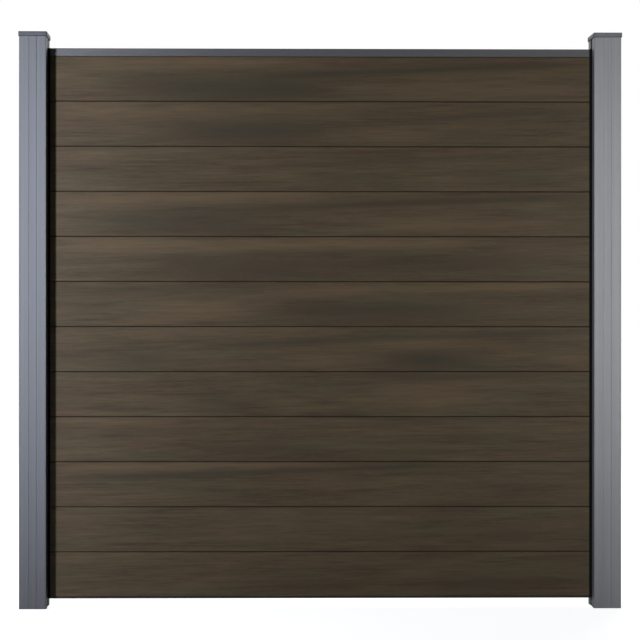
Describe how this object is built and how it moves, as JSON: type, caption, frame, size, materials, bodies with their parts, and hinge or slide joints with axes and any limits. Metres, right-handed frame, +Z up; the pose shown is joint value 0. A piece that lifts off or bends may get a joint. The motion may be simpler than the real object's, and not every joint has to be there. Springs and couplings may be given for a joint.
{
  "type": "fence panel",
  "caption": "Slot-in fence panel: tongue-and-groove composite boards stacked on a base strip between two slotted square aluminium posts, with post caps and an aluminium top rail.",
  "frame": {"origin": "on the ground, midway between the two posts and midway through their depth", "axes": "+Z up, +X along the fence from the left post to the right one as the front is seen, front facing -Y"},
  "size_m": [2, 0.095, 1.91],
  "materials": {
    "post_aluminium": "satin grey, fine upright extrusion lines",
    "cover_aluminium": "satin grey, fine upright extrusion lines",
    "cap_aluminium": "satin dark grey powder coat",
    "rail_aluminium": "satin grey, fine lengthwise extrusion lines",
    "board_composite": "dark brown wood-plastic composite with streaked grain, low sheen",
    "seal_rubber": "matt black extruded rubber",
    "rest_plastic": "black moulded plastic",
    "screw_steel": "stainless steel"
  },
  "bodies": {
    "fence": {"base_strip": "rest_plastic", "board_01": "board_composite", "board_02": "board_composite", "board_03": "board_composite", "board_04": "board_composite", "board_05": "board_composite", "board_06": "board_composite", "board_07": "board_composite", "board_08": "board_composite", "board_09": "board_composite", "board_10": "board_composite", "board_11": "board_composite", "board_12": "board_composite", "board_rest_screws": "screw_steel", "left_board_rest": "rest_plastic", "left_edge_seal": "seal_rubber", "left_front_slot_cover": "cover_aluminium", "left_outer_slot_cover": "cover_aluminium", "left_post": "post_aluminium", "left_rear_slot_cover": "cover_aluminium", "right_board_rest": "rest_plastic", "right_edge_seal": "seal_rubber", "right_front_slot_cover": "cover_aluminium", "right_outer_slot_cover": "cover_aluminium", "right_post": "post_aluminium", "right_rear_slot_cover": "cover_aluminium"},
    "left_cap": {"left_post_cap": "cap_aluminium"},
    "right_cap": {"right_post_cap": "cap_aluminium"},
    "rail": {"top_rail": "rail_aluminium"}
  },
  "joints": [
    {"name": "left_cap_lift", "type": "slide", "parent": "fence", "child": "left_cap", "axis": [0, 0, 1], "range_m": [0, 0.06]},
    {"name": "right_cap_lift", "type": "slide", "parent": "fence", "child": "right_cap", "axis": [0, 0, 1], "range_m": [0, 0.06]},
    {"name": "top_rail_lift", "type": "slide", "parent": "fence", "child": "rail", "axis": [0, 0, 1], "range_m": [0, 0.032]}
  ]
}
